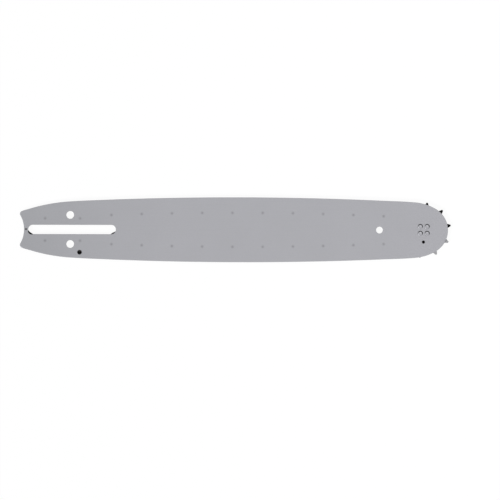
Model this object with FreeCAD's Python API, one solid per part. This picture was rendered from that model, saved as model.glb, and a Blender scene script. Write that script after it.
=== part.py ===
import FreeCAD, Part
import math
import os

from FreeCAD import Vector

# Chainsaw guide bar: three spot-welded steel sheets with a toothed sprocket turning in the nose.
# The bar lies flat. +X runs from the tail to the nose, +Y across the bar, +Z up through it.
# The origin is the centre of the stud slot, on the lower face.
# All sizes are in millimetres.

# Sheets
PLATE_T = 1.6           # each side plate
CORE_T = 1.5            # core sheet, which leaves the chain groove
GROOVE_DEPTH = 7.0      # from the rail's edge in to the core
EDGE_BREAK = 0.3        # chamfer round the outer face of each side plate

# Rails and belly
SPROCKET_X = 362.4      # sprocket axis, from the centre of the stud slot
WIDTH_MAX = 66.86       # across the rails at the belly
WIDTH_AT_NOSE = 56.31   # across the rail arcs where they would pass the sprocket axis
BELLY_SHIFT = 9.2       # widest place, tailward of midway between taper and sprocket

# Nose
NOSE_DROP = 2.885       # how far the nose arc stands in from the rail arcs
SHOULDER_R = 50.2       # arc that blends each rail into the nose arc

# Tail
TAPER_X = 1.0           # where each rail starts to draw in
TAPER_R = 187.0
TAPER_DEG = 16.8        # slope of the straight run behind the taper arc
TAIL_R = 29.0           # hollow tail end
TAIL_BRIDGE = 4.2       # metal between the stud slot and the hollow end
EAR_R = 3.2             # rounding of the two tail corners

# Stud slot and holes
SLOT_LENGTH = 90.5
SLOT_WIDTH = 9.5
TENSION_HOLE_D = 8.0
TENSION_HOLE_X = -1.9
TENSION_HOLE_SPACING = 30.0
GUARD_HOLE_D = 7.0
GUARD_HOLE_BACK = 45.35  # from the sprocket axis back to the hole
OIL_HOLE_D = 4.6
OIL_HOLE_X = 7.8
OIL_HOLE_IN = 6.05      # from the rail's edge in to the hole's centre
GREASE_HOLE_D = 3.0

# Sprocket
TEETH = 10
TOOTH_PHASE_DEG = 10.2  # angle of the first tooth above +X
TOOTH_PROUD = 3.25       # how far a tooth tip passes the nose
TOOTH_TIP_W = 1.4
TOOTH_FLANK_DEG = 24.5  # slope of a flank from the tooth's own centre line
TOOTH_ROOT_R = 3.0      # round at the bottom of each gap
TIP_CLEARANCE = 1.0     # between the tooth tips and the core

# Roller bearing in the sprocket
ROLLERS = 20
ROLLER_CIRCLE_R = 12.27
ROLLER_GAP = 0.07       # between neighbouring rollers
RADIAL_CLEARANCE = 0.02
SIDE_CLEARANCE = 0.1    # on each side of the sprocket and the rollers
ROLLER_PHASE_DEG = 9.0

# Rivets, in a square on the sprocket axis
RIVET_SPACING = 7.0
RIVET_SHANK_D = 3.4
RIVET_HEAD_D = 4.9
RIVET_HEAD_H = 0.7      # let into the side plate, flush with its face

# Heights
BACK_Z = 0.0
CORE_Z = BACK_Z + PLATE_T
CORE_TOP_Z = CORE_Z + CORE_T
FRONT_Z = CORE_TOP_Z + PLATE_T
MIDDLE_Z = (BACK_Z + FRONT_Z) / 2

# Radii that follow from the sizes above
BELLY_X = (TAPER_X + SPROCKET_X) / 2 - BELLY_SHIFT
BELLY_SAG = (WIDTH_MAX - WIDTH_AT_NOSE) / 2
RAIL_R = ((SPROCKET_X - BELLY_X) ** 2 + BELLY_SAG ** 2) / (2 * BELLY_SAG)
NOSE_R = WIDTH_AT_NOSE / 2 - NOSE_DROP
TIP_R = NOSE_R + TOOTH_PROUD
TAIL_X = -SLOT_LENGTH / 2 - TAIL_BRIDGE
ROLLER_D = 2 * ROLLER_CIRCLE_R * math.sin(math.pi / ROLLERS) - ROLLER_GAP
HUB_R = ROLLER_CIRCLE_R - ROLLER_D / 2 - RADIAL_CLEARANCE
BEARING_BORE_R = ROLLER_CIRCLE_R + ROLLER_D / 2 + RADIAL_CLEARANCE

UP = Vector(0, 0, 1)


def polar(radius, degrees):
    angle = math.radians(degrees)
    return Vector(radius * math.cos(angle), radius * math.sin(angle), 0)


def meeting_point(centre_a, radius_a, centre_b, radius_b):
    """Of the two points that lie at these distances from the two centres, the one nearer the tail."""
    line = centre_b - centre_a
    along = (line.Length ** 2 + radius_a ** 2 - radius_b ** 2) / (2 * line.Length)
    aside = math.sqrt(radius_a ** 2 - along ** 2)
    line.normalize()
    across = Vector(-line.y, line.x, 0)
    points = [centre_a + line * along + across * side for side in (aside, -aside)]
    return min(points, key=lambda point: point.x)


def towards(start, end, distance):
    return start + (end - start).normalize() * distance


# Centres of the outline's arcs above the bar's axis
NOSE_CENTRE = Vector(SPROCKET_X, 0, 0)
RAIL_CENTRE = Vector(BELLY_X, WIDTH_MAX / 2 - RAIL_R, 0)
SHOULDER_CENTRE = meeting_point(NOSE_CENTRE, SHOULDER_R - NOSE_R, RAIL_CENTRE, RAIL_R - SHOULDER_R)
TAIL_CENTRE = Vector(TAIL_X - TAIL_R, 0, 0)


def rail_half_width(x):
    return RAIL_CENTRE.y + math.sqrt(RAIL_R ** 2 - (x - BELLY_X) ** 2)


TAPER_START = Vector(TAPER_X, rail_half_width(TAPER_X), 0)
TAPER_CENTRE = towards(TAPER_START, RAIL_CENTRE, TAPER_R)


def mirrored(point):
    return Vector(point.x, -point.y, point.z)


def arc(start, centre, end):
    """The shorter arc between two points at the same distance from a centre."""
    middle = (start + end) / 2
    radius = (start - centre).Length
    return Part.Arc(start, towards(centre, middle, radius), end).toShape()


def outline(inset):
    """The bar's outline with its rails and nose moved in, and its hollow tail end where it is."""
    out = polar(1, 90 + TAPER_DEG)
    along = polar(1, TAPER_DEG)
    reach = out.dot(TAPER_CENTRE - TAIL_CENTRE) + TAPER_R - inset - EAR_R
    run = math.sqrt((TAIL_R + EAR_R) ** 2 - reach ** 2)
    ear_centre = TAIL_CENTRE + out * reach + along * run

    nose_end = towards(SHOULDER_CENTRE, NOSE_CENTRE, SHOULDER_R - inset)
    rail_start = towards(RAIL_CENTRE, SHOULDER_CENTRE, RAIL_R - inset)
    rail_end = towards(RAIL_CENTRE, TAPER_START, RAIL_R - inset)
    taper_end = TAPER_CENTRE + out * (TAPER_R - inset)
    ear_start = ear_centre + out * EAR_R
    ear_end = towards(TAIL_CENTRE, ear_centre, TAIL_R)

    steps = [
        (nose_end, SHOULDER_CENTRE, rail_start),
        (rail_start, RAIL_CENTRE, rail_end),
        (rail_end, TAPER_CENTRE, taper_end),
        (taper_end, None, ear_start),
        (ear_start, ear_centre, ear_end),
    ]
    edges = [arc(mirrored(nose_end), NOSE_CENTRE, nose_end)]
    for start, centre, end in steps:
        edges.append(arc(start, centre, end) if centre else Part.makeLine(start, end))
    edges.append(arc(ear_end, TAIL_CENTRE, mirrored(ear_end)))
    for start, centre, end in reversed(steps):
        start, end = mirrored(end), mirrored(start)
        edges.append(arc(start, mirrored(centre), end) if centre else Part.makeLine(start, end))
    return Part.Wire(edges)


def sheet(wire, z, thickness):
    wire.translate(UP * z)
    return Part.Face(wire).extrude(UP * thickness)


def slot_wire():
    flat = (SLOT_LENGTH - SLOT_WIDTH) / 2
    radius = SLOT_WIDTH / 2
    corners = [Vector(x, y, 0) for x, y in
               ((flat, -radius), (flat, radius), (-flat, radius), (-flat, -radius))]
    return Part.Wire([
        Part.Arc(corners[0], Vector(flat + radius, 0, 0), corners[1]).toShape(),
        Part.makeLine(corners[1], corners[2]),
        Part.Arc(corners[2], Vector(-flat - radius, 0, 0), corners[3]).toShape(),
        Part.makeLine(corners[3], corners[0]),
    ])


def disc(x, y, diameter, z, thickness):
    return Part.makeCylinder(diameter / 2, thickness, Vector(x, y, z))


def bar_openings(z, thickness):
    """The stud slot and the round holes that go through all three sheets."""
    half_spacing = TENSION_HOLE_SPACING / 2
    return [
        sheet(slot_wire(), z, thickness),
        disc(TENSION_HOLE_X, half_spacing, TENSION_HOLE_D, z, thickness),
        disc(TENSION_HOLE_X, -half_spacing, TENSION_HOLE_D, z, thickness),
        disc(SPROCKET_X - GUARD_HOLE_BACK, 0, GUARD_HOLE_D, z, thickness),
    ]


def rivet_places():
    half = RIVET_SPACING / 2
    return [Vector(SPROCKET_X + sx * half, sy * half, 0)
            for sx, sy in ((-1, 1), (1, 1), (1, -1), (-1, -1))]


def rivet_discs(diameter, z, thickness):
    return [disc(place.x, place.y, diameter, z, thickness) for place in rivet_places()]


def edges_at(shape, z):
    tolerance = 1e-6
    return [edge for edge in shape.Edges
            if abs(edge.BoundBox.ZMin - z) < tolerance and abs(edge.BoundBox.ZMax - z) < tolerance]


def side_plate_front():
    z = CORE_TOP_Z
    oil_y = OIL_HOLE_IN - rail_half_width(OIL_HOLE_X)
    cuts = bar_openings(z, PLATE_T)
    cuts.append(disc(OIL_HOLE_X, oil_y, OIL_HOLE_D, z, PLATE_T))
    cuts.append(disc(SPROCKET_X, -ROLLER_CIRCLE_R, GREASE_HOLE_D, z, PLATE_T))
    cuts += rivet_discs(RIVET_SHANK_D, z, PLATE_T)
    cuts += rivet_discs(RIVET_HEAD_D, FRONT_Z - RIVET_HEAD_H, RIVET_HEAD_H)
    plate = sheet(outline(0), z, PLATE_T)
    return plate.makeChamfer(EDGE_BREAK, edges_at(plate, FRONT_Z)).cut(cuts)


def side_plate_back():
    """The same stamping as the front plate, turned over about the bar's axis."""
    plate = side_plate_front()
    plate.rotate(Vector(0, 0, MIDDLE_Z), Vector(1, 0, 0), 180)
    return plate


def core_plate():
    """The middle sheet, which ends in a hollow round the sprocket."""
    pocket = disc(SPROCKET_X, 0, 2 * (TIP_R + TIP_CLEARANCE), CORE_Z, CORE_T)
    return sheet(outline(GROOVE_DEPTH), CORE_Z, CORE_T).cut(bar_openings(CORE_Z, CORE_T) + [pocket])


def bearing_hub():
    hub = disc(SPROCKET_X, 0, 2 * HUB_R, CORE_Z, CORE_T)
    return hub.cut(rivet_discs(RIVET_SHANK_D, CORE_Z, CORE_T))


def nose_sprocket():
    """A star of pointed teeth, with a round-bottomed gap between each two."""
    half_pitch = 180 / TEETH
    slope = half_pitch + TOOTH_FLANK_DEG
    corner = polar(TIP_R, half_pitch - math.degrees(math.asin(TOOTH_TIP_W / 2 / TIP_R)))
    vertex_x = corner.x - corner.y / math.tan(math.radians(slope))
    root_x = vertex_x + TOOTH_ROOT_R / math.sin(math.radians(slope)) - TOOTH_ROOT_R
    flank_end = Vector(vertex_x, 0, 0) + polar(TOOTH_ROOT_R / math.tan(math.radians(slope)), slope)
    next_corner = FreeCAD.Rotation(UP, 2 * half_pitch).multVec(mirrored(corner))

    gap = [
        Part.makeLine(mirrored(corner), mirrored(flank_end)),
        Part.Arc(mirrored(flank_end), Vector(root_x, 0, 0), flank_end).toShape(),
        Part.makeLine(flank_end, corner),
        Part.Arc(corner, polar(TIP_R, half_pitch), next_corner).toShape(),
    ]
    edges = []
    for tooth in range(TEETH):
        for edge in gap:
            copy = edge.copy()
            copy.rotate(Vector(), UP, TOOTH_PHASE_DEG + (2 * tooth + 1) * half_pitch)
            edges.append(copy)
    thickness = CORE_T - 2 * SIDE_CLEARANCE
    z = CORE_Z + SIDE_CLEARANCE
    star = sheet(Part.Wire(edges), z, thickness)
    star.translate(Vector(SPROCKET_X, 0, 0))
    return star.cut(disc(SPROCKET_X, 0, 2 * BEARING_BORE_R, z, thickness))


def roller(number):
    place = Vector(SPROCKET_X, 0, 0) + polar(ROLLER_CIRCLE_R, ROLLER_PHASE_DEG + number * 360 / ROLLERS)
    return disc(place.x, place.y, ROLLER_D, CORE_Z + SIDE_CLEARANCE, CORE_T - 2 * SIDE_CLEARANCE)


def nose_rivets():
    """Shanks through both plates and the hub, each with a head let into each plate."""
    top = FRONT_Z - RIVET_HEAD_H
    bottom = BACK_Z + RIVET_HEAD_H
    shanks = rivet_discs(RIVET_SHANK_D, bottom, top - bottom)
    upper = rivet_discs(RIVET_HEAD_D, top, RIVET_HEAD_H)
    lower = rivet_discs(RIVET_HEAD_D, BACK_Z, RIVET_HEAD_H)
    return [shank.fuse([one, other]) for shank, one, other in zip(shanks, upper, lower)]


def build():
    parts = {
        "side_plate_front": side_plate_front(),
        "side_plate_back": side_plate_back(),
        "core_plate": core_plate(),
        "bearing_hub": bearing_hub(),
        "nose_sprocket": nose_sprocket(),
    }
    for number, rivet in enumerate(nose_rivets(), 1):
        parts[f"nose_rivet_{number}"] = rivet
    for number in range(ROLLERS):
        parts[f"roller_{number + 1:02d}"] = roller(number)
    return parts


os.makedirs("parts", exist_ok=True)
for name, shape in build().items():
    shape.exportStep(f"parts/{name}.step")
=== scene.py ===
import math
from collections import namedtuple

import bmesh
import bpy
from mathutils import Matrix, Vector
from mathutils.geometry import delaunay_2d_cdt


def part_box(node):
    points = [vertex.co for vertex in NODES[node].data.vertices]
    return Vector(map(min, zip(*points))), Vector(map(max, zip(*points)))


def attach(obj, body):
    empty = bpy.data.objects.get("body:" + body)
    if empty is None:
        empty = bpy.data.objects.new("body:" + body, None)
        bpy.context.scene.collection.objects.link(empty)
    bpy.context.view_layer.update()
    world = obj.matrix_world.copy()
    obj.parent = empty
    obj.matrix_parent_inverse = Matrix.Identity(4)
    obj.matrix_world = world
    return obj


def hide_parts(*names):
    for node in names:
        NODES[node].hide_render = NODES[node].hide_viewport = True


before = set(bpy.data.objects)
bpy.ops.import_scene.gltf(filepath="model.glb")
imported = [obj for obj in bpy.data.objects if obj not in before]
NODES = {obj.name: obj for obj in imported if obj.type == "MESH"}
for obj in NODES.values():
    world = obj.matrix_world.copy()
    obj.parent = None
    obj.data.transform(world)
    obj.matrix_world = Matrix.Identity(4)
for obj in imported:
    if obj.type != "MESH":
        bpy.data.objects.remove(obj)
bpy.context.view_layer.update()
MM = 0.001

# Photograph: its scale, and the bar's place in it
FRAME_PIXELS = 500
PIXEL = 1.031 * MM
SLOT_PIXEL = (71.47, 228.95)    # the slot's centre, counted from the centre of the first pixel
BAR_TURN = -0.0020              # slope of the bar's axis in the picture

# Camera
CAMERA_HEIGHT = 6.0             # above the bar's upper face
CAMERA_REACH = 20.0             # how far it sees
SENSOR = 36 * MM                # its sensor's width

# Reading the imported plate
SAME_PLACE = 0.001 * MM         # points and planes nearer than this are one
PLACE_DIGITS = 7                # decimals of a metre that tell two points apart
FLAT_NORMAL = 0.999             # a face is flat when this much of its normal is along Z
RIVET_MATCH = 1.0 * MM          # a hole whose centre is this near a rivet's is that rivet's

# Side plates
EDGE_ROUND = 0.30 * MM          # outer edge of each plate, as wide as the CAD's chamfer
HOLE_ROUND = 0.12 * MM
FACE_BAND = 0.03 * MM           # flat rim of the face at each edge, which keeps the face's shading even
RIVET_RECESS = 0.70 * MM
ROUND_STEPS = 4
OILY_HOLE_R = 2.5 * MM          # smaller holes than this, other than the rivets', carry oil or grease
OUTLINE_STEP = 2.0 * MM
CIRCLE_POINTS = 72
SLOT_END_POINTS = 36
FACE, EDGE, INNER = range(3)    # material numbers of a plate's outer face, edges and inner face

# Painted shadow: a dark crescent across each of the slot's lower corners, where the slot's shade falls. end
# is -1 at the tail and 1 at the nose, and middle and half_angle are degrees round the centre of that end of
# the slot. into_slot and over_plate say how far it reaches from the slot's wall, each way.
PaintedSlotShadow = namedtuple("PaintedSlotShadow", "end middle half_angle into_slot over_plate")
SLOT_PAINTED_SHADOWS = (
    PaintedSlotShadow(end=-1, middle=-127.5, half_angle=44, into_slot=0.93 * MM, over_plate=0.97 * MM),
    PaintedSlotShadow(end=1, middle=-61.5, half_angle=39, into_slot=1.21 * MM, over_plate=0.14 * MM),
)
SLOT_SHADOW_INSET = 0.1 * MM        # below each face of the bar
SLOT_SHADOW_TIP = 0.97              # share of the half angle where the crescent is cut off
SLOT_SHADOW_STATIONS = 24
SLOT_SHADOW_POINTS = 10
SLOT_SHADOW_BLUR = 0.12 * MM        # softness of its edge on the plate

# Spot-weld marks
WELD_COLUMNS = 10
WELD_FIRST_X = 40.7 * MM
WELD_LAST_X = 321.4 * MM
WELD_ROW_IN = 15.85 * MM        # from the rail's edge in to the row
TAIL_WELD_XS = (-27.7 * MM, 8.4 * MM)
TAIL_WELD_OUT = 6.75 * MM       # from the slot's side out to the weld
MARK_R = 2.4 * MM
MARK_DARKNESS = 0.34
BRIDGE_MARK_R = 1.6 * MM        # the mark on the metal between the slot and the tail's end
BRIDGE_MARK_Y = 0.3 * MM
BRIDGE_DARKNESS = 1.6           # above 1, so that more than its very middle is at its darkest
MARK_DEPTH = 0.08 * MM
MARK_POINTS = 28
MARK_RINGS = 6

# Rivets
CREST_R = 1.80 * MM
CREST_W = 0.20 * MM
DISH_DEPTH = 0.30 * MM
FLANK_DEPTH = 0.30 * MM
DISH_RINGS = 5
RIVET_POINTS = 64

# Painted shade in the groove round each rivet, strongest on one side
RIVET_SHADE_SHIFT = Vector((0.30, 0.15)) * MM  # its centre, from the rivet's own
RIVET_SHADE_SIDE = 68                  # the side where it is strongest, in degrees
RIVET_SHADE_FADE = (60, 125)           # degrees from that side to where it starts to fade and where it ends
RIVET_SHADE_INNER = (-0.05, 0.15)      # its soft inner edge, in millimetres from the crest outward
RIVET_SHADE_OUTER = (0.80, 1.00)       # its soft outer edge

# Colours
STEEL = (172, 172, 177)
# painted shade: the face's darker tone at the tail
TAIL_PAINTED_SHADE_STEEL = (162, 163, 167)
GROUND_STEEL = (158, 158, 162)
CORE_STEEL = (72, 71, 70)
HUB_STEEL = (120, 120, 122)
# painted light on the sprocket's two lower teeth
PAINTED_LIT_TOOTH = (172, 172, 175)
DARK_OXIDE = (5, 5, 6)
NEAR_BLACK = (8, 8, 7)
STAIN = (60, 58, 58)
# painted shade in the groove round each rivet
RIVET_PAINTED_SHADE = (34, 34, 36)
# painted shadow in the slot's lower corners
SLOT_PAINTED_SHADOW = (3, 3, 3)

# Finish
PAINTED_SHADE_FADE = (-120, 110)         # millimetres along the bar, between which painted shade on the face fades out towards the nose
PAINTED_LIT_SIDE = -44                 # the side of the sprocket whose teeth are painted light grey as if lit, at rest, in degrees
PAINTED_LIT_FADE = (30, 34)            # degrees from that side to where the painted light fades and to where it ends
NOISE_RANGE = (0.3, 0.7)        # where most of a noise lies
NOISE_ROUGHNESS = 0.55          # how much each finer step of a noise adds to it
GLOSS_SPREAD = 0.06             # how far the roughness of oily surfaces strays each way
GRAIN_DEPTH = 0.03 * MM         # relief of the finest grain
STREAK_RELIEF = 0.4             # height of the face's streaks, as a share of the grain's
DULL = 0.15                     # specular level of what is black
PLAIN = 0.5                     # specular level of the rest
SHARP_ANGLE = math.radians(35)  # edges sharper than this aren't smoothed
LARGE_FACES_FIRST = 100         # lets the largest face at a corner settle the shading there
NODE_BEVEL = 0.05 * MM          # width of the softened edges of CAD nodes
NODE_BEVEL_STEPS = 2
NODE_BEVEL_ANGLE = math.radians(40)

# Stage, with light and tones as shares of white
SKY_LEVEL = 0.31
FLOOR_TONE = 0.6
FLOOR_SHADOW = 0.07             # how much of the seen floor's white depends on the light on it
FLOOR_LIGHT = 0.8               # the light that reaches open floor
FLOOR_REACH = 6.0               # from its middle to each side
FLOOR_DROP = 0.02 * MM          # below the bar
BAR_MIDDLE_X = 167 * MM


# Outline and openings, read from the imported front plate
def flat_loops(node, z, up):
    """The closed edge loops of a node's flat faces at a height, each as a list of 2-D points."""
    mesh = NODES[node].data
    key = {v.index: (round(v.co.x, PLACE_DIGITS), round(v.co.y, PLACE_DIGITS)) for v in mesh.vertices}
    sides = []
    for face in mesh.polygons:
        if face.normal.z * up < FLAT_NORMAL or abs(face.center.z - z) > SAME_PLACE:
            continue
        corners = [key[i] for i in face.vertices]
        sides += zip(corners, corners[1:] + corners[:1])
    known = set(sides)
    following = {a: b for a, b in sides if (b, a) not in known}
    loops = []
    while following:
        start, point = following.popitem()
        loop = [start]
        while point != start:
            loop.append(point)
            point = following.pop(point)
        loops.append([Vector(p) for p in loop])
    return loops


def extent(loop):
    """How far a loop reaches along X."""
    return max(p.x for p in loop) - min(p.x for p in loop)


def middle(loop):
    """The middle of a loop's box."""
    xs = [p.x for p in loop]
    ys = [p.y for p in loop]
    return Vector(((min(xs) + max(xs)) / 2, (min(ys) + max(ys)) / 2))


def area(loop):
    """A loop's area, which is below zero where it runs clockwise."""
    return sum(a.cross(b) for a, b in zip(loop, loop[1:] + loop[:1])) / 2


def curve_point(start, end, leaving, arriving, s):
    """The place and the direction at share s of a curve with given ends and slopes there."""
    place = (start * (2 * s**3 - 3 * s**2 + 1) + leaving * (s**3 - 2 * s**2 + s)
             + end * (3 * s**2 - 2 * s**3) + arriving * (s**3 - s**2))
    slope = (start * (6 * s**2 - 6 * s) + leaving * (3 * s**2 - 4 * s + 1)
             + end * (6 * s - 6 * s**2) + arriving * (3 * s**2 - 2 * s))
    return place, slope.normalized()


def smooth_loop(loop, spacing):
    """Points on a smooth closed curve through the loop's points, with the outward normal at each."""
    points = loop if area(loop) > 0 else loop[::-1]
    count = len(points)
    tangents = []
    for i, point in enumerate(points):
        before = point - points[i - 1]
        after = points[(i + 1) % count] - point
        slope = before.normalized() * after.length + after.normalized() * before.length
        tangents.append(slope.normalized())
    curve = []
    for i, start in enumerate(points):
        end = points[(i + 1) % count]
        chord = (end - start).length
        leaving = tangents[i] * chord
        arriving = tangents[(i + 1) % count] * chord
        steps = max(1, math.ceil(chord / spacing))
        for step in range(steps):
            place, slope = curve_point(start, end, leaving, arriving, step / steps)
            curve.append((place, Vector((slope.y, -slope.x))))
    return curve


def on_rivet(place):
    """Whether a place is a rivet's centre."""
    return min((place - centre).length for centre in RIVETS) < RIVET_MATCH


FACE_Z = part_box("side_plate_front")[1].z
INNER_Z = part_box("side_plate_front")[0].z
MIDDLE_Z = FACE_Z / 2
face_loops = sorted(flat_loops("side_plate_front", FACE_Z, up=1), key=extent)
inner_loops = flat_loops("side_plate_front", INNER_Z, up=-1)
OUTLINE = smooth_loop(face_loops[-1], OUTLINE_STEP)
SLOT = face_loops[-2]
SLOT_MIDDLE = middle(SLOT)
SLOT_R = (max(p.y for p in SLOT) - min(p.y for p in SLOT)) / 2
SLOT_FLAT = extent(SLOT) / 2 - SLOT_R
HOLES = [(middle(loop), extent(loop) / 2) for loop in face_loops[:-2]]
RIVET_NODES = [name for name in NODES if name.startswith("nose_rivet")]
RIVETS = [(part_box(name)[0].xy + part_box(name)[1].xy) / 2 for name in RIVET_NODES]
HEAD_R = (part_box(RIVET_NODES[0])[1].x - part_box(RIVET_NODES[0])[0].x) / 2
SHANK_R = min(extent(loop) for loop in inner_loops if on_rivet(middle(loop))) / 2
SPROCKET = middle([corner.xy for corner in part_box("bearing_hub")])


def direction(angle):
    return Vector((math.cos(angle), math.sin(angle)))


def outline_ring(offset):
    """The outline moved out by the offset, kept inside the CAD plate's box."""
    low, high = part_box("side_plate_front")
    points = [place + normal * offset for place, normal in OUTLINE]
    return [Vector((min(max(p.x, low.x), high.x), min(max(p.y, low.y), high.y))) for p in points]


def circle(centre, radius, count=CIRCLE_POINTS):
    return [centre + direction(2 * math.pi * i / count) * radius for i in range(count)]


def slot_end(side):
    """The centre of one of the slot's round ends: -1 is the tail's and 1 the nose's."""
    return SLOT_MIDDLE + Vector((side * SLOT_FLAT, 0))


def slot_ring(radius):
    """Points round the slot, at a distance from its middle line."""
    points = []
    for side, first in ((1, -90), (-1, 90)):
        for i in range(SLOT_END_POINTS + 1):
            angle = math.radians(first + 180 * i / SLOT_END_POINTS)
            points.append(slot_end(side) + direction(angle) * radius)
    return points


def slot_wall(side, angle):
    """How far the slot's wall lies from the centre of one of its round ends, in a direction."""
    if side * math.cos(angle) >= 0:
        return SLOT_R
    return SLOT_R / abs(math.sin(angle))


def half_width(x):
    """How far the outline stands from the bar's axis at x."""
    ring = outline_ring(EDGE_ROUND)
    for a, b in zip(ring, ring[1:] + ring[:1]):
        if a.y > 0 and b.y > 0 and (a.x - x) * (b.x - x) <= 0 and a.x != b.x:
            return a.y + (b.y - a.y) * (x - a.x) / (b.x - a.x)
    raise ValueError("no outline at this x")


def weld_places():
    """Each weld's place, how far its mark reaches and how dark it is."""
    pitch = (WELD_LAST_X - WELD_FIRST_X) / (WELD_COLUMNS - 1)
    rail_xs = [WELD_FIRST_X + column * pitch for column in range(WELD_COLUMNS)]
    upper = [(x, half_width(x) - WELD_ROW_IN) for x in rail_xs]
    upper += [(x, SLOT_R + TAIL_WELD_OUT) for x in TAIL_WELD_XS]
    places = [(Vector((x, y * side)), MARK_R, MARK_DARKNESS) for x, y in upper for side in (1, -1)]
    tail_x = min(place.x for place, normal in OUTLINE if abs(place.y) < SLOT_R)
    bridge_place = Vector(((tail_x - SLOT_FLAT - SLOT_R) / 2, BRIDGE_MARK_Y))
    return places + [(bridge_place, BRIDGE_MARK_R, BRIDGE_DARKNESS)]


# Mesh building
def ring_verts(bm, points, z):
    return [bm.verts.new((p.x, p.y, z)) for p in points]


def join_rings(bm, first, second, material=FACE):
    """A closed band of faces between two rings of as many points."""
    count = len(first)
    for i in range(count):
        j = (i + 1) % count
        face = bm.faces.new((first[i], first[j], second[j], second[i]))
        face.material_index = material


def close_ring(bm, ring, tip):
    """A fan of faces from a ring to a point."""
    for vert, following in zip(ring, ring[1:] + ring[:1]):
        bm.faces.new((vert, following, tip))


def fill(bm, rings, material):
    """A flat face inside the first ring and outside the others, which are convex."""
    verts, owners, edges = [], [], []
    for number, ring in enumerate(rings):
        first, count = len(verts), len(ring)
        edges += [(first + i, first + (i + 1) % count) for i in range(count)]
        verts += ring
        owners += [number] * count
    places = [vert.co.xy / MM for vert in verts]
    inside_outline = 1
    tolerance = 1e-6
    found = delaunay_2d_cdt(places, edges, [], inside_outline, tolerance)
    triangles, sources = found[2], found[3]
    for triangle in triangles:
        corners = [sources[corner][0] for corner in triangle]
        rings_met = {owners[corner] for corner in corners}
        if rings_met == {0} or len(rings_met) > 1:
            face = bm.faces.new([verts[corner] for corner in corners])
            face.material_index = material


def rounded_wall(bm, ring_at, size, bottom_z, material):
    """A flat rim, a rounded edge, then a straight wall. ring_at gives the points at an offset."""
    first = ring_verts(bm, ring_at(-FACE_BAND), FACE_Z)
    last = ring_verts(bm, ring_at(0), FACE_Z)
    join_rings(bm, first, last)
    for step in range(1, ROUND_STEPS + 1):
        angle = math.pi / 2 * step / ROUND_STEPS
        ring = ring_verts(bm, ring_at(size * math.sin(angle)), FACE_Z - size * (1 - math.cos(angle)))
        join_rings(bm, last, ring, material)
        last = ring
    wall = ring_verts(bm, ring_at(size), bottom_z)
    join_rings(bm, last, wall, material)
    return first, wall


def hole_wall(bm, centre, radius):
    """A round hole through the plate, stepped down to the shank where a rivet's head is let in."""
    def ring_at(offset):
        return circle(centre, radius + HOLE_ROUND - offset)

    if not on_rivet(centre):
        material = INNER if radius < OILY_HOLE_R else EDGE
        return rounded_wall(bm, ring_at, HOLE_ROUND, INNER_Z, material)
    seat_z = FACE_Z - RIVET_RECESS
    top, outer = rounded_wall(bm, ring_at, HOLE_ROUND, seat_z, EDGE)
    seat = ring_verts(bm, circle(centre, SHANK_R), seat_z)
    bottom = ring_verts(bm, circle(centre, SHANK_R), INNER_Z)
    join_rings(bm, outer, seat, EDGE)
    join_rings(bm, seat, bottom, EDGE)
    return top, bottom


def weld_mark(bm, stain, place, reach, darkness):
    """A shallow round hollow, with the strength of its stain stored in a layer."""
    first = last = ring_verts(bm, circle(place, reach, MARK_POINTS), FACE_Z)
    for step in range(1, MARK_RINGS):
        t = step / MARK_RINGS
        level = t * t * (3 - 2 * t)
        ring = ring_verts(bm, circle(place, reach * (1 - t), MARK_POINTS), FACE_Z - MARK_DEPTH * level)
        for vert in ring:
            vert[stain] = darkness * level
        join_rings(bm, last, ring)
        last = ring
    centre = bm.verts.new((place.x, place.y, FACE_Z - MARK_DEPTH))
    centre[stain] = darkness
    close_ring(bm, last, centre)
    return first


def plate_mesh():
    """The front plate."""
    bm = bmesh.new()
    stain = bm.verts.layers.float.new("mark")
    walls = [
        rounded_wall(bm, outline_ring, EDGE_ROUND, INNER_Z, EDGE),
        rounded_wall(bm, lambda offset: slot_ring(SLOT_R + HOLE_ROUND - offset), HOLE_ROUND, INNER_Z, EDGE),
    ]
    walls += [hole_wall(bm, centre, radius) for centre, radius in HOLES]
    marks = [weld_mark(bm, stain, *mark) for mark in weld_places()]
    fill(bm, [top for top, bottom in walls] + marks, FACE)
    fill(bm, [bottom for top, bottom in walls], INNER)
    bmesh.ops.recalc_face_normals(bm, faces=bm.faces)
    return bm


def rivet_mesh(centre):
    """A turned rivet: a dished head with a raised crest at each end, on a straight shank."""
    dish_r = CREST_R - CREST_W
    shares = [ring / DISH_RINGS for ring in range(DISH_RINGS)]
    dish = [(dish_r * share, FACE_Z - DISH_DEPTH * (1 - share**2)) for share in shares]
    head = [(dish_r, FACE_Z), (CREST_R, FACE_Z), (HEAD_R, FACE_Z - FLANK_DEPTH),
            (HEAD_R, FACE_Z - RIVET_RECESS), (SHANK_R, FACE_Z - RIVET_RECESS)]
    upper = dish + head
    profile = upper + [(radius, 2 * MIDDLE_Z - z) for radius, z in reversed(upper)]
    bm = bmesh.new()
    rings = [ring_verts(bm, circle(centre, radius, RIVET_POINTS), z) for radius, z in profile[1:-1]]
    for first, second in zip(rings, rings[1:]):
        join_rings(bm, first, second)
    for ring, (radius, z) in ((rings[0], profile[0]), (rings[-1], profile[-1])):
        close_ring(bm, ring, bm.verts.new((centre.x, centre.y, z)))
    bmesh.ops.recalc_face_normals(bm, faces=bm.faces)
    return bm


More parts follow.
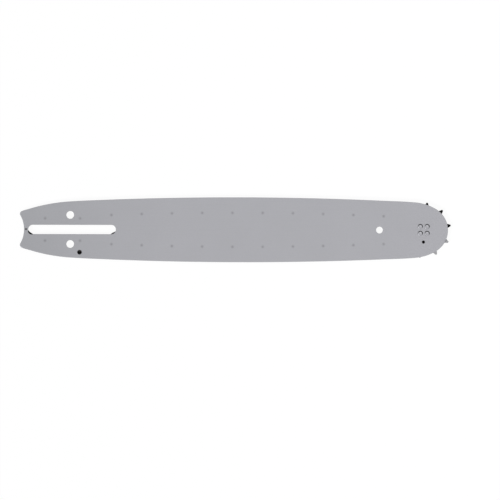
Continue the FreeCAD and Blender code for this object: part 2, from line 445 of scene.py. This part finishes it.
def slot_shadow_mesh(slot_shadow):
    """A dark crescent of painted shadow in a corner of the slot, bulging from the wall between the bar's
    faces.
    """
    centre = slot_end(slot_shadow.end)
    half_height = MIDDLE_Z - SLOT_SHADOW_INSET
    bm = bmesh.new()
    rings = []
    for station in range(SLOT_SHADOW_STATIONS + 1):
        share = SLOT_SHADOW_TIP * (2 * station / SLOT_SHADOW_STATIONS - 1)
        angle = math.radians(slot_shadow.middle + slot_shadow.half_angle * share)
        bulge = slot_shadow.into_slot * (1 - share**2)
        ring = []
        for step in range(SLOT_SHADOW_POINTS + 1):
            turn = math.pi * step / SLOT_SHADOW_POINTS
            radius = slot_wall(slot_shadow.end, angle) - bulge * math.sqrt(abs(math.sin(turn)))
            place = centre + direction(angle) * radius
            ring.append(bm.verts.new((place.x, place.y, MIDDLE_Z + half_height * math.cos(turn))))
        rings.append(ring)
    for first, second in zip(rings, rings[1:]):
        join_rings(bm, first, second)
    bm.faces.new(rings[0])
    bm.faces.new(rings[-1])
    bmesh.ops.recalc_face_normals(bm, faces=bm.faces)
    return bm


# Node helpers
def srgb(colour):
    """A colour given as 0 to 255, as linear red, green, blue and alpha."""
    def linear(value):
        value /= 255
        return value / 12.92 if value <= 0.04045 else ((value + 0.055) / 1.055) ** 2.4
    return (*map(linear, colour), 1.0)


class Nodes:
    """A short way to add and join shader nodes."""

    def __init__(self, tree):
        self.tree = tree
        tree.nodes.clear()

    def add(self, kind, inputs=None, **settings):
        """A new node. Each of its inputs gets another node's output or a plain value."""
        node = self.tree.nodes.new(kind)
        for name, value in settings.items():
            setattr(node, name, value)
        for name, value in (inputs or {}).items():
            if isinstance(value, bpy.types.NodeSocket):
                self.tree.links.new(value, node.inputs[name])
            else:
                node.inputs[name].default_value = value
        return node

    def math(self, operation, a, b=0.0):
        return self.add("ShaderNodeMath", {0: a, 1: b}, operation=operation).outputs[0]

    def ramp(self, value, low, high, start=0.0, end=1.0):
        """Maps low to high smoothly onto start to end, and stays at either end beyond them."""
        node = self.add("ShaderNodeMapRange", {"Value": value, "From Min": low, "From Max": high,
                                               "To Min": start, "To Max": end},
                        interpolation_type="SMOOTHSTEP")
        return node.outputs[0]

    def spread(self, noise, low, high):
        """A noise mapped so that it runs from low to high."""
        return self.ramp(noise, *NOISE_RANGE, low, high)

    def strongest(self, fields):
        """The highest of several values."""
        best = fields[0]
        for field in fields[1:]:
            best = self.math("MAXIMUM", best, field)
        return best

    def blend(self, factor, a, b):
        """Two numbers mixed."""
        return self.add("ShaderNodeMix", {0: factor, 2: a, 3: b}).outputs[0]

    def mix(self, factor, a, b):
        """Two colours mixed, through the same node's sockets for colours."""
        return self.add("ShaderNodeMix", {0: factor, 6: a, 7: b}, data_type="RGBA").outputs[2]

    def millimetres(self, stretch=(1, 1, 1)):
        """The object's own coordinates in millimetres, times a stretch along each axis."""
        place = self.add("ShaderNodeTexCoord").outputs["Object"]
        factors = tuple(s / MM for s in stretch)
        return self.add("ShaderNodeVectorMath", {0: place, 1: factors}, operation="MULTIPLY").outputs[0]

    def place(self):
        """The shaded point's own x, y and z in millimetres."""
        return self.add("ShaderNodeSeparateXYZ", {0: self.millimetres()}).outputs

    def noise(self, scale, detail, stretch=(1, 1, 1)):
        """Noise from 0 to 1, with about scale features per millimetre."""
        node = self.add("ShaderNodeTexNoise", {"Vector": self.millimetres(stretch), "Scale": scale,
                                               "Detail": detail, "Roughness": NOISE_ROUGHNESS})
        return node.outputs["Fac"]


def new_material(name):
    material = bpy.data.materials.new(name)
    material.use_nodes = True
    return material, Nodes(material.node_tree)


def set_surface(nodes, colour, roughness, metallic, bump, specular=PLAIN):
    """Joins the worked-out colour, roughness and bump to the surface."""
    normal = nodes.add("ShaderNodeBump", {"Height": bump, "Distance": GRAIN_DEPTH}).outputs[0]
    shader = nodes.add("ShaderNodeBsdfPrincipled", {
        "Base Color": colour, "Roughness": roughness, "Metallic": metallic,
        "Specular IOR Level": specular, "Normal": normal})
    nodes.add("ShaderNodeOutputMaterial", {"Surface": shader.outputs[0]})


def varied(nodes, colour, fields, amount):
    """A colour made lighter and darker by noise fields, by up to the amount for each."""
    total = nodes.math("SUBTRACT", fields[0], 0.5)
    for field in fields[1:]:
        total = nodes.math("ADD", total, nodes.math("SUBTRACT", field, 0.5))
    factor = nodes.math("ADD", nodes.math("MULTIPLY", total, 2 * amount), 1.0)
    tone = colour if isinstance(colour, bpy.types.NodeSocket) else colour[:3]
    return nodes.add("ShaderNodeVectorMath", {0: tone, "Scale": factor}, operation="SCALE").outputs[0]


def polar_nodes(nodes, place, centre):
    """The distance in millimetres and the angle of a shaded point, as seen from a centre."""
    x = nodes.math("SUBTRACT", place[0], centre.x / MM)
    y = nodes.math("SUBTRACT", place[1], centre.y / MM)
    squares = nodes.math("ADD", nodes.math("MULTIPLY", x, x), nodes.math("MULTIPLY", y, y))
    return nodes.math("SQRT", squares), nodes.math("ARCTAN2", y, x)


def side_share(nodes, angle, side, fade):
    """1 where an angle is near a side, down to 0 away from it. The side and the fade are in degrees."""
    away = nodes.math("ABSOLUTE", nodes.math("SUBTRACT", angle, math.radians(side)))
    return nodes.ramp(away, math.radians(fade[0]), math.radians(fade[1]), 1, 0)


def slot_painted_shadow(nodes):
    """How strongly painted shadow darkens the bar round the slot's lower corners, from 0 to 1."""
    place = nodes.place()
    crescents = []
    for slot_shadow in SLOT_PAINTED_SHADOWS:
        radius, angle = polar_nodes(nodes, place, slot_end(slot_shadow.end))
        turn = nodes.math("SUBTRACT", angle, math.radians(slot_shadow.middle))
        away = nodes.math("DIVIDE", turn, math.radians(slot_shadow.half_angle))
        share = nodes.math("SUBTRACT", 1.0, nodes.math("MULTIPLY", away, away))
        reach = nodes.math("MULTIPLY", share, slot_shadow.over_plate / MM)
        beyond = nodes.math("SUBTRACT", radius, nodes.math("ADD", reach, SLOT_R / MM))
        crescents.append(nodes.ramp(beyond, -SLOT_SHADOW_BLUR / MM, SLOT_SHADOW_BLUR / MM, 1, 0))
    return nodes.strongest(crescents)


def rivet_painted_shade(nodes):
    """How strongly painted shade darkens the groove round each rivet, from 0 to 1."""
    place = nodes.place()
    bands = []
    for centre in RIVETS:
        radius, angle = polar_nodes(nodes, place, centre + RIVET_SHADE_SHIFT)
        past_crest = nodes.math("SUBTRACT", radius, CREST_R / MM)
        inner_edge = nodes.ramp(past_crest, *RIVET_SHADE_INNER)
        outer_edge = nodes.ramp(past_crest, *RIVET_SHADE_OUTER, 1, 0)
        side = side_share(nodes, angle, RIVET_SHADE_SIDE, RIVET_SHADE_FADE)
        bands.append(nodes.math("MULTIPLY", nodes.math("MULTIPLY", inner_edge, outer_edge), side))
    return nodes.strongest(bands)


# Materials
def face_material():
    """Finely blasted light grey steel, with grey weld stains and painted shade: darker towards the tail,
    dark in the slot's lower corners and in the groove round each rivet.
    """
    material, nodes = new_material("plate_face")
    clouds = nodes.noise(scale=0.03, detail=3)
    streaks = nodes.noise(scale=1.0, detail=2, stretch=(0.02, 2.5, 1))
    grain = nodes.noise(scale=1.8, detail=5)
    # painted shade: the face darkens towards the tail, where less light falls
    steel = nodes.mix(nodes.ramp(nodes.place()[0], *PAINTED_SHADE_FADE), srgb(TAIL_PAINTED_SHADE_STEEL), srgb(STEEL))
    steel = varied(nodes, steel, (clouds, streaks), amount=0.03)
    colour = varied(nodes, steel, (grain,), amount=0.1)
    mark = nodes.add("ShaderNodeAttribute", attribute_name="mark").outputs["Fac"]
    colour = nodes.mix(mark, colour, srgb(STAIN))
    # painted shadow round the slot's lower corners
    colour = nodes.mix(slot_painted_shadow(nodes), colour, srgb(SLOT_PAINTED_SHADOW))
    # painted shade in the groove round each rivet
    colour = nodes.mix(rivet_painted_shade(nodes), colour, srgb(RIVET_PAINTED_SHADE))
    unevenness = nodes.math("MULTIPLY", nodes.math("ADD", clouds, grain), 0.5)
    relief = nodes.math("ADD", grain, nodes.math("MULTIPLY", streaks, STREAK_RELIEF))
    gloss = nodes.spread(unevenness, 0.46, 0.56)
    set_surface(nodes, colour, roughness=gloss, metallic=0.35, bump=relief)
    return material


def edge_material():
    """Ground and hardened steel on the rails and in the holes."""
    material, nodes = new_material("plate_edge")
    lines = nodes.noise(scale=3.0, detail=2, stretch=(1, 1, 0.15))
    clouds = nodes.noise(scale=0.2, detail=2)
    colour = varied(nodes, srgb(GROUND_STEEL), (lines, clouds), amount=0.08)
    # painted shadow round the slot's lower corners
    colour = nodes.mix(slot_painted_shadow(nodes), colour, srgb(SLOT_PAINTED_SHADOW))
    # painted shade in the groove round each rivet
    colour = nodes.mix(rivet_painted_shade(nodes), colour, srgb(RIVET_PAINTED_SHADE))
    set_surface(nodes, colour, roughness=nodes.spread(clouds, 0.3, 0.42), metallic=0.8, bump=lines)
    return material


def oily_material(name, colour, metallic, roughness, specular=PLAIN):
    """Steel under a film of oil, or a dark painted shadow, cloudy and finely grained."""
    material, nodes = new_material(name)
    clouds = nodes.noise(scale=0.25, detail=3)
    grain = nodes.noise(scale=3.0, detail=2)
    tone = varied(nodes, srgb(colour), (clouds, grain), amount=0.15)
    gloss = nodes.spread(clouds, roughness - GLOSS_SPREAD, roughness + GLOSS_SPREAD)
    set_surface(nodes, tone, gloss, metallic, grain, specular)
    return material


def core_material():
    """Rolled steel under oil, with the slot's painted shadow on it."""
    material, nodes = new_material("core_steel")
    clouds = nodes.noise(scale=0.25, detail=3)
    lines = nodes.noise(scale=2.0, detail=2, stretch=(0.05, 1, 1))
    colour = varied(nodes, srgb(CORE_STEEL), (clouds, lines), amount=0.12)
    # painted shadow round the slot's lower corners
    colour = nodes.mix(slot_painted_shadow(nodes), colour, srgb(SLOT_PAINTED_SHADOW))
    set_surface(nodes, colour, roughness=nodes.spread(clouds, 0.34, 0.46), metallic=0.7, bump=lines)
    return material


def sprocket_material():
    """Dark oxide, with painted light: the two teeth that point down and forward at rest are painted light
    grey as if lit.
    """
    material, nodes = new_material("sprocket_steel")
    clouds = nodes.noise(scale=0.5, detail=3)
    grain = nodes.noise(scale=4.0, detail=2)
    dark = varied(nodes, srgb(DARK_OXIDE), (clouds, grain), amount=0.2)
    painted_lit = varied(nodes, srgb(PAINTED_LIT_TOOTH), (clouds, grain), amount=0.05)
    angle = polar_nodes(nodes, nodes.place(), SPROCKET)[1]
    # painted light on the teeth that point down and forward
    colour = nodes.mix(side_share(nodes, angle, PAINTED_LIT_SIDE, PAINTED_LIT_FADE), dark, painted_lit)
    gloss = nodes.spread(clouds, 0.45, 0.55)
    set_surface(nodes, colour, roughness=gloss, metallic=0.0, bump=grain, specular=DULL)
    return material


def rivet_material():
    """The plates' steel, with painted shade in the groove round each crest."""
    material, nodes = new_material("rivet_steel")
    grain = nodes.noise(scale=3.0, detail=2)
    clouds = nodes.noise(scale=0.6, detail=2)
    colour = varied(nodes, srgb(STEEL), (grain, clouds), amount=0.05)
    # painted shade in the groove round each crest
    colour = nodes.mix(rivet_painted_shade(nodes), colour, srgb(RIVET_PAINTED_SHADE))
    set_surface(nodes, colour, roughness=nodes.spread(clouds, 0.36, 0.48), metallic=0.35, bump=grain)
    return material


# Pieces
def add_piece(name, bm, materials):
    """A finished mesh as a piece that rides on the bar."""
    mesh = bpy.data.meshes.new(name)
    bm.to_mesh(mesh)
    for material in materials:
        mesh.materials.append(material)
    mesh.shade_smooth()
    mesh.set_sharp_from_angle(angle=SHARP_ANGLE)
    piece = bpy.data.objects.new(name, mesh)
    bpy.context.scene.collection.objects.link(piece)
    flat = piece.modifiers.new("flat", "WEIGHTED_NORMAL")
    flat.weight = LARGE_FACES_FIRST
    flat.keep_sharp = True
    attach(piece, "bar")
    return piece


def make_plates():
    """Both side plates. The back one is the front one, turned over about the bar's axis."""
    front = plate_mesh()
    back = front.copy()
    turned_over = Matrix.Translation((0, 0, 2 * MIDDLE_Z)) @ Matrix.Rotation(math.pi, 4, "X")
    bmesh.ops.transform(back, matrix=turned_over, verts=back.verts)
    inner = oily_material("plate_inner", NEAR_BLACK, metallic=0.0, roughness=0.6, specular=DULL)
    looks = [face_material(), edge_material(), inner]
    for side, bm in (("front", front), ("back", back)):
        plate = add_piece(f"{side}_plate", bm, looks)
        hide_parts(f"side_plate_{side}")


def make_rivets():
    look = rivet_material()
    for number, (node, centre) in enumerate(zip(RIVET_NODES, RIVETS), 1):
        rivet = add_piece(f"rivet_{number}", rivet_mesh(centre), [look])
        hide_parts(node)


def make_slot_shadows():
    # a dark mesh in each lower corner of the slot, a painted shadow
    look = oily_material("slot_shadow", SLOT_PAINTED_SHADOW, metallic=0.0, roughness=0.7, specular=DULL)
    for number, slot_shadow in enumerate(SLOT_PAINTED_SHADOWS, 1):
        add_piece(f"slot_painted_shadow_{number}", slot_shadow_mesh(slot_shadow), [look])


def dress(name, look):
    """Gives a CAD node its material and softens its edges."""
    node = NODES[name]
    node.data.materials.clear()
    node.data.materials.append(look)
    weld = node.modifiers.new("weld", "WELD")
    weld.merge_threshold = SAME_PLACE
    soft = node.modifiers.new("soft", "BEVEL")
    soft.width = NODE_BEVEL
    soft.segments = NODE_BEVEL_STEPS
    soft.limit_method = "ANGLE"
    soft.angle_limit = NODE_BEVEL_ANGLE
    soft.harden_normals = True


def dress_nodes():
    """Dresses the CAD nodes that stay in the scene."""
    looks = {
        "core_plate": core_material(),
        "nose_sprocket": sprocket_material(),
        "bearing_hub": oily_material("hub_steel", HUB_STEEL, metallic=0.8, roughness=0.35),
        # The rollers are near black, which keeps the grease hole over them dark.
        "roller": oily_material("roller_steel", NEAR_BLACK, metallic=0.0, roughness=0.5, specular=DULL),
    }
    for name in NODES:
        kind = "roller" if name.startswith("roller") else name
        if kind in looks:
            dress(name, looks[kind])


# Stage: a white floor that keeps a soft shadow, light and camera
def direct_view(nodes):
    """1 for camera, glossy and transmission rays, 0 for the rest."""
    path = nodes.add("ShaderNodeLightPath").outputs
    kinds = ("Is Camera Ray", "Is Glossy Ray", "Is Transmission Ray")
    return nodes.strongest([path[kind] for kind in kinds])


def floor_material():
    """White with a light shadow where it is seen, and plain and pale to the light that bounces."""
    material, nodes = new_material("floor")
    seen = direct_view(nodes)
    tone = nodes.blend(seen, FLOOR_TONE, FLOOR_SHADOW)
    grey = nodes.add("ShaderNodeCombineColor", {0: tone, 1: tone, 2: tone}).outputs[0]
    diffuse = nodes.add("ShaderNodeBsdfDiffuse", {"Color": grey})
    own_light = 1 - FLOOR_SHADOW * FLOOR_LIGHT
    glow = nodes.add("ShaderNodeEmission", {"Strength": nodes.math("MULTIPLY", seen, own_light)})
    both = nodes.add("ShaderNodeAddShader", {0: diffuse.outputs[0], 1: glow.outputs[0]})
    nodes.add("ShaderNodeOutputMaterial", {"Surface": both.outputs[0]})
    return material


def make_floor():
    bm = bmesh.new()
    bmesh.ops.create_grid(bm, x_segments=1, y_segments=1, size=FLOOR_REACH)
    mesh = bpy.data.meshes.new("floor")
    bm.to_mesh(mesh)
    mesh.materials.append(floor_material())
    floor = bpy.data.objects.new("floor", mesh)
    floor.location.z = -FLOOR_DROP
    bpy.context.scene.collection.objects.link(floor)


def make_world():
    """White where it is seen, and at its own level as light."""
    world = bpy.data.worlds.new("studio")
    world.use_nodes = True
    nodes = Nodes(world.node_tree)
    strength = nodes.blend(direct_view(nodes), SKY_LEVEL, 1.0)
    sky = nodes.add("ShaderNodeBackground", {"Color": (1, 1, 1, 1), "Strength": strength})
    nodes.add("ShaderNodeOutputWorld", {"Surface": sky.outputs[0]})
    bpy.context.scene.world = world


def add_lamp(name, lamp, azimuth, elevation):
    """A lamp that shines from a direction, turned to face what it lights."""
    a = math.radians(azimuth)
    e = math.radians(elevation)
    towards = Vector((math.cos(a) * math.cos(e), math.sin(a) * math.cos(e), math.sin(e)))
    holder = bpy.data.objects.new(name, lamp)
    holder.rotation_euler = towards.to_track_quat("Z", "Y").to_euler()
    holder.visible_camera = False
    bpy.context.scene.collection.objects.link(holder)
    return holder, towards


def sun(name, azimuth, elevation, share, spread):
    """A distant lamp that gives flat ground its share of the plain level."""
    lamp = bpy.data.lights.new(name, "SUN")
    lamp.energy = share * math.pi / math.sin(math.radians(elevation))
    lamp.angle = math.radians(spread)
    add_lamp(name, lamp, azimuth, elevation)


def softbox(name, azimuth, elevation, share, distance, size):
    """A square lamp that gives the bar's middle about its share of the plain level."""
    lamp = bpy.data.lights.new(name, "AREA")
    lamp.size = size
    lamp.energy = share * math.pi**2 * distance**2 / math.sin(math.radians(elevation))
    holder, towards = add_lamp(name, lamp, azimuth, elevation)
    holder.location = Vector((BAR_MIDDLE_X, 0, 0)) + towards * distance
    holder.visible_glossy = False


def make_camera():
    """Looks straight down, with the photograph's scale, place and slight turn."""
    half = (FRAME_PIXELS - 1) / 2
    across = (half - SLOT_PIXEL[0]) * PIXEL
    down = (half - SLOT_PIXEL[1]) * PIXEL
    turn = math.atan(BAR_TURN)
    aim = Matrix.Rotation(-turn, 2) @ Vector((across, -down))
    data = bpy.data.cameras.new("camera")
    data.sensor_width = SENSOR / MM
    data.lens = data.sensor_width * CAMERA_HEIGHT / (FRAME_PIXELS * PIXEL)
    data.clip_end = CAMERA_REACH
    camera = bpy.data.objects.new("camera", data)
    camera.location = (aim.x, aim.y, FACE_Z + CAMERA_HEIGHT)
    camera.rotation_euler = (0, 0, -turn)
    bpy.context.scene.collection.objects.link(camera)
    bpy.context.scene.camera = camera


make_plates()
make_rivets()
make_slot_shadows()
dress_nodes()
make_floor()
make_world()
sun("key", azimuth=222, elevation=40, share=0.385, spread=14)
softbox("fill", azimuth=0, elevation=60, share=0.185, distance=1.2, size=1.2)
make_camera()
bpy.context.scene.view_settings.view_transform = "Standard"
